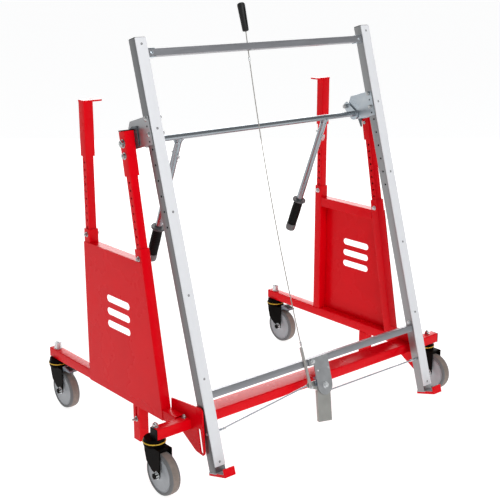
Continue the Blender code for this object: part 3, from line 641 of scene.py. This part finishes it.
def make_rear_post(side, word):
    """Upright post with a wider head and the red plate that a tipped rail rests on."""
    centre = (side * TUBE_MID, REAR_Y)
    low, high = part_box("rear_post_" + word)
    body = BODY_OF["rear_post_" + word]
    # The inside of the post is painted near-black shade.
    red_piece("rear_post_tube_" + word, post_tube(centre, low.z, 0.98), body,
              holes=drill_post(*centre, 0.660, 10), replaces="rear_post_" + word,
              bore=(centre, 0.0112, (0, 1)))
    plate_low = high.z - 0.005
    red_piece("rear_head_" + word, sleeve_tube(centre, 2, 0.877, plate_low), body)
    near, far = sorted((side * 0.436, side * TUBE_OUT))
    outline = [(near, plate_low), (far, plate_low), (far, high.z), (near, high.z)]
    plate = prism(outline, 1, REAR_Y - SLEEVE_HALF, REAR_Y + SLEEVE_HALF)
    red_piece("rest_plate_" + word, plate, body, bevel=0.0006)


SPACER_OUTLINE = [(-0.029, -0.012), (-0.008, -0.014), (0.010, -0.019), (0.0155, -0.030), (0.0165, -0.047),
                  (0.0205, -0.047), (0.033, -0.008), (0.033, 0.012), (0.006, 0.040), (-0.006, 0.044),
                  (-0.029, 0.044)]


def make_front_post(side, word):
    """Leaning post with a wider head, and the pivot bolt that the ladder frame turns on."""
    centre = (side * TUBE_MID, 0.0)
    body = "front_posts"
    # The inside of the post is painted near-black shade.
    red_piece("front_post_tube_" + word, post_tube(centre, -0.5, -0.02), body, POSTS,
              holes=drill_post(*centre, -0.286, 9), replaces="front_post_" + word,
              bore=(centre, 0.0112, (0, 1)))
    red_piece("front_head_" + word, sleeve_tube(centre, 2, -0.092, 0.034), body, POSTS)
    carry("front_post_cap_" + word, bevel=0.0012)
    near, far = sorted((side * 0.425, side * (TUBE_OUT + 0.002)))
    shank = lathe([(near, 0.0052), (near + 0.0008, 0.006), (far, 0.006)], 24, closed=False)
    add("pivot_shank_" + word, shank, body, ZINC, "zinc", POSTS, replaces="pivot_bolt_" + word)
    near, far = sorted((side * 0.4618, side * (TUBE_IN - GAP)))
    add("spacer_" + word, prism(SPACER_OUTLINE, 0, near, far), body, SPACER, "zinc", POSTS, bevel=0.0009)

    outwards, inwards = (side, 0, 0), (-side, 0, 0)
    bolt_z = -0.0345
    fastener("head_bolt_" + word, (side * TUBE_IN, 0.004, bolt_z), inwards, body, POSTS,
             size=0.010, height=0.0028, washer=0.0)
    fastener("pivot_nut_" + word, (side * TUBE_OUT, 0, 0), outwards, body, POSTS,
             size=0.019, height=0.0075, washer=0.0125)
    fastener("head_nut_" + word, (side * TUBE_OUT, 0, bolt_z), outwards, body, POSTS, washer=0.0105)


def make_posts():
    for side, word in SIDES:
        make_rear_post(side, word)
        make_front_post(side, word)


# ---------------------------------------------------------------- ladder frame

def on_ladder(name, mesh, material, slot, **more):
    """A piece of the tilting frame, given in the ladder's own axes."""
    add(name, mesh, "tilt_frame", material, slot, LADDER, **more)


def upright_block(centre, half, radius, low, high):
    """Block standing along z, with rounded corners."""
    outline = [(x + centre[0], y + centre[1]) for x, y in rounded(half[0], half[1], radius, 2)]
    return prism(outline, 2, low, high)


def make_rail(side, word):
    """Rail with its holes, white strip, end cap and strip screws."""
    middle = side * FRAME_MID
    levels = [0.912 - 0.0435 * i for i in range(6)]
    holes = merged(side_holes(middle, -0.018, levels, 0.03, 0.0034),
                   side_holes(middle, PIN_Y, [PIN_Z], 0.03, 0.0043))
    rail = tube((middle, RAIL_Y), (RAIL_HALF, 0.015), 0.002, 2, RAIL_START, RAIL_END, 0.0012)
    # The left rail takes the painted-shade copy of the alloy, and each rail's inside is painted near-black shade.
    on_ladder("rail_" + word, rail, ALLOY if side > 0 else ALLOY_SHADED, "alloy", holes=holes,
              replaces="frame_rail_" + word, bore=((middle, RAIL_Y), 0.0142, (0, 1)))
    strip = upright_block((middle, -0.03215), (RAIL_HALF, 0.00185), 0.0009, 0.014, RAIL_END)
    on_ladder("strip_" + word, strip, WHITE, "white_strip", replaces="face_strip_" + word)
    cap = upright_block((middle, RAIL_Y), (RAIL_HALF - 0.0004, 0.0146), 0.001, RAIL_END, RAIL_END + 0.002)
    on_ladder("rail_cap_" + word, cap, BLACK, "black_plastic", bevel=0.0005)
    for i, level in enumerate((0.026, 0.262, 0.499, 0.734, 0.967, 1.200)):
        round_screw("strip_screw_%s_%d" % (word, i), (side * 0.440, -0.034, level), (0, -1, 0),
                    "tilt_frame", LADDER, 0.0036, ALLOY)


def make_foot(side, word):
    """Red foot under a rail, with a pale pad that is cut away around the rail."""
    middle = side * FRAME_MID
    carry("foot_" + word, bevel=0.0009)
    shelf_top = RAIL_START - GAP
    pad = upright_block((middle, -0.0323), (RAIL_HALF + 0.0008, 0.0344), 0.0012, shelf_top,
                        shelf_top + 0.0034)
    room = upright_block((middle, RAIL_Y), (RAIL_HALF + 0.0002, 0.0152), 0.001, shelf_top - 0.01,
                         shelf_top + 0.02)
    on_ladder("foot_pad_" + word, pad, HUB, "alloy", bevel=0.0004, holes=room)


def make_bracket(side, word):
    """Pivot bracket with its domed bolts, their nuts, and discs of near-black painted shade in its two spare
    holes.
    """
    carry("pivot_bracket_" + word, PLATE if side < 0 else None, bevel=0.0007)
    outer_face, inner_face = side * 0.4612, side * 0.4183
    dome = [(-0.0005, 0.0070), (0.0004, 0.0074), (0.0018, 0.0062), (0.0027, 0.0040), (0.0031, 0.0003)]
    for i, level in enumerate((0.998, 0.954)):
        place = Matrix.Translation((side * 0.4613, BAR_Y, level)) @ towards((side, 0, 0))
        on_ladder("bracket_bolt_%s_%d" % (word, i), shifted(lathe(dome, 20, closed=False), place), NUT,
                  "zinc", angle=50)
        fastener("bracket_nut_%s_%d" % (word, i), (inner_face, BAR_Y, level), (-side, 0, 0), "tilt_frame",
                 LADDER, size=0.011, washer=0.0065)
    # Each spare hole is shown as a near-black disc of painted shade on both faces of the bracket.
    disc = [(-0.0002, 0.0028), (0.0002, 0.0028)]
    for i, level in enumerate((0.977, 0.9345)):
        for face, x in (("outer", outer_face), ("inner", inner_face)):
            spot = shifted(lathe(disc, 16, closed=False), Matrix.Translation((x, BAR_Y, level)))
            on_ladder("bracket_hole_%s_%s_%d" % (word, face, i), spot, PAINTED_SHADE, "zinc")


def make_cleats(side, word):
    """Plates over and under an end of the top crossbar, and the screw between them."""
    reach = 0.014
    end = side * (FRAME_IN - 0.0005)
    middle = end - side * reach
    for edge, shift in (("over", 0.0207), ("under", -0.0024)):
        low = TOP_BAR_Z + shift
        cleat = prism(rounded(reach, 0.0105, 0.002, 3), 2, low, low + 0.0022)
        shifted(cleat, Matrix.Translation((middle, BAR_Y, 0)))
        on_ladder("cleat_top_%s_%s" % (edge, word), cleat, ZINC, "zinc", bevel=0.0004)
    round_screw("cleat_screw_top_" + word, (middle, -0.028, TOP_BAR_Z + 0.010), (0, -1, 0), "tilt_frame",
                LADDER, 0.005)


def make_crossbar(name, node, level, holes=None):
    """Box tube between the rails; level is its underside."""
    half_y, half_z = 0.0115, 0.01025
    bar = tube((BAR_Y, level + half_z), (half_y, half_z), 0.002, 0, -FRAME_IN + GAP, FRAME_IN - GAP, 0.0015)
    on_ladder(name, bar, BAR, "alloy", replaces=node, holes=holes)


def make_ladder():
    for side, word in SIDES:
        make_rail(side, word)
        make_foot(side, word)
        make_bracket(side, word)
        make_cleats(side, word)
    profile = [(TOP_BAR_Z - 0.01, 0.0066), (TOP_BAR_Z + 0.04, 0.0066)]
    cable_hole = shifted(lathe(profile, 20, closed=False), upright_at(CABLE_TOP.x, BAR_Y))
    make_crossbar("top_bar", "top_crossbar", TOP_BAR_Z, cable_hole)
    make_crossbar("low_bar", "bottom_crossbar", LOW_BAR_Z)


# ---------------------------------------------------------------- cross tube and levers

# The levers hang 22 degrees behind upright while the ladder frame leans by 16.25 degrees.
LEVER_ANGLE = math.radians(22.0) + math.radians(16.25)
LEVER_X = {-1: 0.303, 1: 0.283}
LEVER_RADIUS, GRIP_BORE = 0.0105, 0.0107
GRIP_FLANGE = [(0.316, GRIP_BORE), (0.316, 0.0212), (0.3178, 0.0225), (0.3208, 0.0225), (0.3225, 0.0212),
               (0.3240, GRIP_BORE)]
GRIP_END = [(0.4155, GRIP_BORE), (0.4155, 0.0160), (0.4162, 0.0164), (0.4340, 0.0164), (0.4375, 0.0156),
            (0.4394, 0.0136), (0.4400, GRIP_BORE)]
CLIP_ROUTE = [(0.0540, 0.0, -0.0185), (0.0600, 0.0, -0.0185), (0.0680, 0.0040, -0.0190),
              (0.0740, 0.0020, -0.0200), (0.0740, -0.0025, -0.0200), (0.0680, -0.0040, -0.0190),
              (0.0620, -0.0034, -0.0180), (0.0570, -0.0034, -0.0175)]


def lever_matrix(side):
    """Puts +X down the lever, from the tilt axis."""
    heading = Vector((0, math.sin(LEVER_ANGLE), -math.cos(LEVER_ANGLE)))
    return LADDER @ Matrix.Translation((side * LEVER_X[side], AXLE_Y, AXLE_Z)) @ towards(heading)


def grip_profile():
    """Ribbed barrel of a push-on grip."""
    points = [(0.3243, GRIP_BORE), (0.3243, 0.0145)]
    start, end, ribs = 0.3270, 0.4142, 14
    step = (end - start) / ribs
    for i in range(ribs):
        x = start + (end - start) * i / ribs
        swell = 0.0006 * math.sin(math.pi * i / (ribs - 1))
        valley, crest = 0.0144 + swell, 0.0154 + swell
        points += [(x, valley), (x + 0.25 * step, crest), (x + 0.7 * step, crest), (x + 0.95 * step, valley)]
    return points + [(0.4152, 0.0145), (0.4152, GRIP_BORE)]


def make_lever(side, word):
    """Saddle with two gussets, lever, its pin and clip, and the grip in three parts."""
    place = lever_matrix(side)

    def on_lever(name, mesh, material, slot="zinc", **more):
        add(name + "_" + word, mesh, "tilt_frame", material, slot, place, **more)

    saddle = lathe([(0.002, LEVER_RADIUS), (0.0150, LEVER_RADIUS), (0.0160, 0.0098)], 28, closed=False)
    turn = Matrix.Rotation(math.pi / 2, 4, "X")
    gussets = []
    for flip in (-1, 1):
        outline = [(0.003, flip * 0.0100), (0.026, flip * 0.0100), (0.003, flip * 0.0235)]
        gussets.append(shifted(prism(outline, 1, -0.0015, 0.0015), turn))
    on_lever("lever_saddle", merged(saddle, *gussets), ZINC_LONG, bevel=0.0004)
    bar = [(0.0165, 0.0098), (0.0172, LEVER_RADIUS), (0.436, LEVER_RADIUS)]
    on_lever("lever_bar", lathe(bar, 28, closed=False), ZINC_LONG, replaces="lever_" + word)
    pin = sweep([(0.060, 0, -0.0215), (0.060, 0, 0.0185)], 0.0027, 12)
    on_lever("lever_pin", pin, BRIGHT, bevel=0.0003)
    on_lever("lever_clip", sweep(CLIP_ROUTE, 0.0011, 8), BRIGHT)
    on_lever("lever_grip_sleeve", lathe(grip_profile(), 32), GRIP_BLACK, "rubber",
             replaces="lever_grip_" + word)
    on_lever("lever_grip_flange", lathe(GRIP_FLANGE, 32), COLLAR, "rubber")
    on_lever("lever_grip_end", lathe(GRIP_END, 32), GRIP_GREY, "rubber")


def make_cross_tube():
    """Tube between the pivot brackets, with its stop plate and the two levers."""
    end = FRAME_OUT - 0.001
    profile = [(-end, 0.0063), (-end, 0.0085), (-end + 0.0006, 0.009), (end - 0.0006, 0.009), (end, 0.0085),
               (end, 0.0063)]
    round_tube = shifted(lathe(profile, 40), Matrix.Translation((0, AXLE_Y, AXLE_Z)))
    on_ladder("cross_tube_round", round_tube, ZINC_LONG, "zinc", replaces="cross_tube")
    carry("stop_plate", bevel=0.0005)
    fastener("stop_bolt", (0.4120, 0.089, 0.975), (-1, 0, 0), "tilt_frame", LADDER, height=0.009, washer=0.0)
    for side, word in SIDES:
        make_lever(side, word)


# ---------------------------------------------------------------- latch and pull line

# Out of the ladder frame's front, in its own axes.
FORWARDS = (0, -1, 0)


def make_spring():
    """Coil beside the kick crank."""
    turns, steps, radius, height = 8, 12, 0.0040, 0.0300
    coil = []
    for i in range(turns * steps + 1):
        angle = 2 * math.pi * i / steps
        coil.append((LATCH_X - 0.0395 + radius * math.cos(angle), -0.0338 + radius * math.sin(angle),
                     LATCH_Z + 0.0060 + height * i / (turns * steps)))
    on_ladder("latch_spring", sweep(coil, 0.0009, 8), COIL, "steel")


def make_rod(side, word):
    """Bolt at an end of the low crossbar, latch pin, the rod that draws it, and the rod's collar."""
    fastener("bar_bolt_" + word, (side * FRAME_IN, BAR_Y, LOW_BAR_Z + 0.0300), (-side, 0, 0), "tilt_frame",
             LADDER, size=0.009, height=0.004, washer=0.0065, material=BRIGHT)
    carry("latch_pin_" + word, bevel=0.0006)
    eye = Vector((side * 0.405, PIN_Y, PIN_Z))
    if side < 0:
        inner = Vector((LATCH_X - 0.058, PIN_Y, LATCH_Z + 0.015))
    else:
        inner = Vector((LATCH_X + 0.014, PIN_Y, LATCH_Z - 0.0225))
    span = inner - eye
    along = span.normalized()
    steps = 24
    points = [eye + along * (GAP + span.length * i / steps) for i in range(steps)] + [inner]
    body = "rod_" + word
    add("rod_" + word, sweep(points, 0.0023, 12), body, ZINC, "zinc", LADDER, replaces="latch_rod_" + word)
    ring = lathe([(0, 0.0036), (0.0004, 0.004), (0.0076, 0.004), (0.008, 0.0036)], 16, closed=False)
    place = Matrix.Translation(eye - Vector((side * 0.006, 0, 0))) @ towards((-side, 0, 0))
    add("rod_collar_" + word, shifted(ring, place), body, BRIGHT, "zinc", LADDER)


def make_latch():
    """Bracket and kick crank on the low crossbar, with what hangs on them."""
    carry("latch_bracket", PLATE, bevel=0.0005)
    carry("kick_crank", KICK, bevel=0.0005)
    fastener("latch_pivot_nut", (LATCH_X, -0.0316, LATCH_Z), FORWARDS, "tilt_frame", LADDER,
             size=0.014, washer=0.0105, material=BRIGHT)
    bracket_face = -0.0313
    fastener("latch_ear_bolt", (-0.0370, bracket_face, 0.2110), FORWARDS, "tilt_frame", LADDER,
             size=0.011, height=0.005, washer=0.0080, material=BRIGHT)
    for i, (x, z) in enumerate(((-0.0215, 0.1800), (0.0220, 0.1795))):
        round_screw("latch_rivet_%d" % i, (x, bracket_face, z), FORWARDS, "tilt_frame", LADDER, 0.0030,
                    BRIGHT)
    carry("pull_link", STEEL, bevel=0.0005)
    fastener("link_bolt", (LATCH_X - 0.0600, -0.0338, LATCH_Z + 0.0070), FORWARDS, "pull_line", LADDER,
             size=0.009, height=0.004, washer=0.0055, material=BRIGHT)
    make_spring()
    for side, word in SIDES:
        make_rod(side, word)


def make_cable():
    """Wire rope of the pull line and its two ferrules."""
    count = 40
    curve = bpy.data.curves.new("cable", "CURVE")
    curve.dimensions = "3D"
    curve.bevel_depth = CABLE_RADIUS
    curve.bevel_resolution = 3
    curve.use_fill_caps = True
    spline = curve.splines.new("POLY")
    spline.points.add(count - 1)
    points = [LADDER @ cable_point(i / (count - 1)) for i in range(count)]
    for point, place in zip(spline.points, points):
        point.co = (*place, 1.0)
    curve.materials.append(ROPE)
    cable = bpy.data.objects.new("cable", curve)
    bpy.context.collection.objects.link(cable)
    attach(cable, "pull_line")
    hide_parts("pull_cable")
    # The upper ferrule sits low enough to stay clear of the top crossbar when the line is pulled.
    for name, t in (("low", 0.003), ("high", 0.908)):
        sleeve = lathe([(0, 0.0018), (0, 0.0030), (0.0006, 0.0034), (0.0114, 0.0034), (0.0120, 0.0030),
                        (0.0120, 0.0018)], 20)
        heading = cable_point(t + 0.01) - cable_point(t)
        shifted(sleeve, Matrix.Translation(cable_point(t)) @ towards(heading))
        add("cable_ferrule_" + name, sleeve, "pull_line", BRIGHT, "steel", LADDER)


def make_grip():
    """Tapered pull grip with a slit through it, standing over the top crossbar."""
    start = CABLE_TOP.z + GAP
    profile = [(start, 0.006), (start + 0.0012, 0.0088), (start + 0.004, 0.0098), (start + 0.078, 0.012),
               (start + 0.083, 0.0108), (start + 0.085, 0.008)]
    grip = shifted(lathe(profile, 28, closed=False), upright_at(CABLE_TOP.x, CABLE_TOP.y))
    slit = prism(slot_outline((CABLE_TOP.x, start + 0.018), (CABLE_TOP.x, start + 0.066), 0.0016), 1,
                 CABLE_TOP.y - 0.02, CABLE_TOP.y + 0.02)
    add("grip", grip, "pull_line", RUBBER, "rubber", LADDER, holes=slit, replaces="pull_grip")


# ---------------------------------------------------------------- castors

def mirrored(half, middle=()):
    """Whole profile of a wheel from its right half, which runs outwards, and what lies between the halves."""
    return half + list(middle) + [(-x, r) for x, r in reversed(half)]


TYRE_PROFILE = mirrored([(0.0090, 0.0505), (0.0146, 0.0518), (0.0158, 0.0528), (0.0160, 0.0545),
                         (0.0159, 0.0578), (0.0152, 0.0596), (0.0140, 0.0607), (0.0108, 0.0617)])
TREAD_PROFILE = mirrored([(0.0105, 0.0600), (0.0106, 0.0616), (0.0080, 0.0621), (0.0040, 0.0624)],
                         [(0.0, 0.0625)])
HUB_PROFILE = mirrored([(0.0180, 0.0064), (0.0180, 0.0115), (0.0168, 0.0130), (0.0150, 0.0140),
                        (0.0136, 0.0160), (0.0130, 0.0240), (0.0132, 0.0360), (0.0142, 0.0440),
                        (0.0150, 0.0465), (0.0150, 0.0484), (0.0136, 0.0490), (0.0136, 0.0502),
                        (0.0148, 0.0507), (0.0148, 0.0524), (0.0120, 0.0528)])
RACE_PROFILE = [(0.1455, 0.0310), (0.1455, 0.0328), (0.1462, 0.0335), (0.1479, 0.0335), (0.1486, 0.0328),
                (0.1486, 0.0310)]
PEDAL_TREAD = [(-0.0640, 0.1485), (-0.0640, 0.1494), (-0.0885, 0.1433), (-0.0885, 0.1424)]


def make_castor(end, word):
    """Wheel in three parts, fork, race ring and axle nuts, and the brake pedal of a rear castor."""
    name = end + "_" + word
    swivel = JOINTS["swivel_" + name]
    roll = JOINTS["roll_" + name]
    stem = Vector(swivel["pos_m"])
    fork_body, wheel_body = swivel["child"], roll["child"]
    at_axle = Matrix.Translation(Vector(roll["pos_m"]))
    at_stem = Matrix.Translation((stem.x, stem.y, 0))
    add("tyre_" + name, lathe(TYRE_PROFILE, 64), wheel_body, TYRE, "tyre_grey", at_axle, angle=40,
        replaces="castor_wheel_" + name)
    add("tread_" + name, lathe(TREAD_PROFILE, 64), wheel_body, TREAD, "tyre_grey", at_axle, angle=40)
    add("hub_" + name, lathe(HUB_PROFILE, 48), wheel_body, HUB, "tyre_grey", at_axle, angle=40)
    carry("castor_fork_" + name, bevel=0.0012)
    ring = shifted(lathe(RACE_PROFILE, 40), upright_at(0, 0))
    add("race_ring_" + name, ring, fork_body, YELLOW, "pedal_grey", at_stem)
    for side, letter in ((-1, "a"), (1, "b")):
        fastener("axle_nut_%s_%s" % (name, letter), (side * 0.0219, 0, 0), (side, 0, 0), fork_body, at_axle,
                 size=0.017, height=0.007, washer=0.0115, material=BRIGHT)
    if end == "rear":
        carry("brake_pedal_rear_" + word, bevel=0.0015)
        add("pedal_tread_" + word, prism(PEDAL_TREAD, 0, -0.0105, 0.0105), "pedal_" + word, BLACK,
            "pedal_grey", at_stem, bevel=0.0002)


# ---------------------------------------------------------------- surroundings

def make_floor():
    """Pale floor that glows, so that it runs into the backdrop."""
    mesh = bmesh.new()
    bmesh.ops.create_circle(mesh, cap_ends=True, segments=96, radius=40.0)
    floor = loose(mesh)
    floor.name = "floor"
    material = surface("pale_floor", (0.50, 0.50, 0.50), 0.9, vary=0.004, grain=3, rough_vary=0.02,
                       specular=0.0)
    shader = material.node_tree.nodes["Principled BSDF"]
    shader.inputs["Emission Color"].default_value = (1, 1, 1, 1)
    shader.inputs["Emission Strength"].default_value = 0.80
    floor.data.materials.append(material)


def make_world():
    """Studio that is white on one side, grey on the other, and darker overhead."""
    white = (1.0, 1.0, 1.0)
    world = bpy.data.worlds.new("studio")
    world.use_nodes = True
    tree = world.node_tree
    place = tree.nodes.new("ShaderNodeTexCoord")
    facing = tree.nodes.new("ShaderNodeVectorMath")
    facing.operation = "DOT_PRODUCT"
    facing.inputs[1].default_value = (0.643, 0.766, 0.0)
    link(tree, place.outputs["Generated"], facing.inputs[0])
    backdrop = add_ramp(tree, facing.outputs["Value"], (0.05, (0.28, 0.285, 0.29)), (0.55, white))
    split = tree.nodes.new("ShaderNodeSeparateXYZ")
    link(tree, place.outputs["Generated"], split.inputs["Vector"])
    ceiling = add_ramp(tree, split.outputs["Z"], (0.35, white), (0.85, (0.35, 0.36, 0.37)))

    mix = tree.nodes.new("ShaderNodeMix")
    mix.data_type = "RGBA"
    mix.blend_type = "MULTIPLY"
    mix.inputs["Factor"].default_value = 1.0
    first_colour, second_colour, result = mix.inputs[6], mix.inputs[7], mix.outputs[2]
    link(tree, backdrop, first_colour)
    link(tree, ceiling, second_colour)
    background = tree.nodes["Background"]
    link(tree, result, background.inputs["Color"])
    background.inputs["Strength"].default_value = 1.10
    bpy.context.scene.world = world


# Name, place, size in metres and power in watts.
LAMPS = (("backdrop", (3.1, 3.7, 1.9), 3.6, 110.0),
         ("key", (-0.8, -3.4, 3.4), 2.4, 100.0),
         ("left", (-3.6, -0.6, 2.6), 2.0, 5.0),
         ("rear", (1.8, 2.6, 3.0), 2.6, 30.0))


def make_lamps():
    """Square lamps, all turned to the trolley's middle."""
    target = Vector((0, 0, 0.6))
    for name, place, size, power in LAMPS:
        data = bpy.data.lights.new(name, "AREA")
        data.size = size
        data.energy = power
        lamp = bpy.data.objects.new(name, data)
        lamp.location = place
        lamp.rotation_euler = (target - Vector(place)).to_track_quat("-Z", "Y").to_euler()
        bpy.context.collection.objects.link(lamp)


make_chassis()
make_posts()
make_ladder()
make_cross_tube()
make_latch()
make_cable()
make_grip()
for end_name in ("front", "rear"):
    for _, side_word in SIDES:
        make_castor(end_name, side_word)
make_floor()
make_world()
make_lamps()
bpy.context.scene.view_settings.view_transform = "Standard"
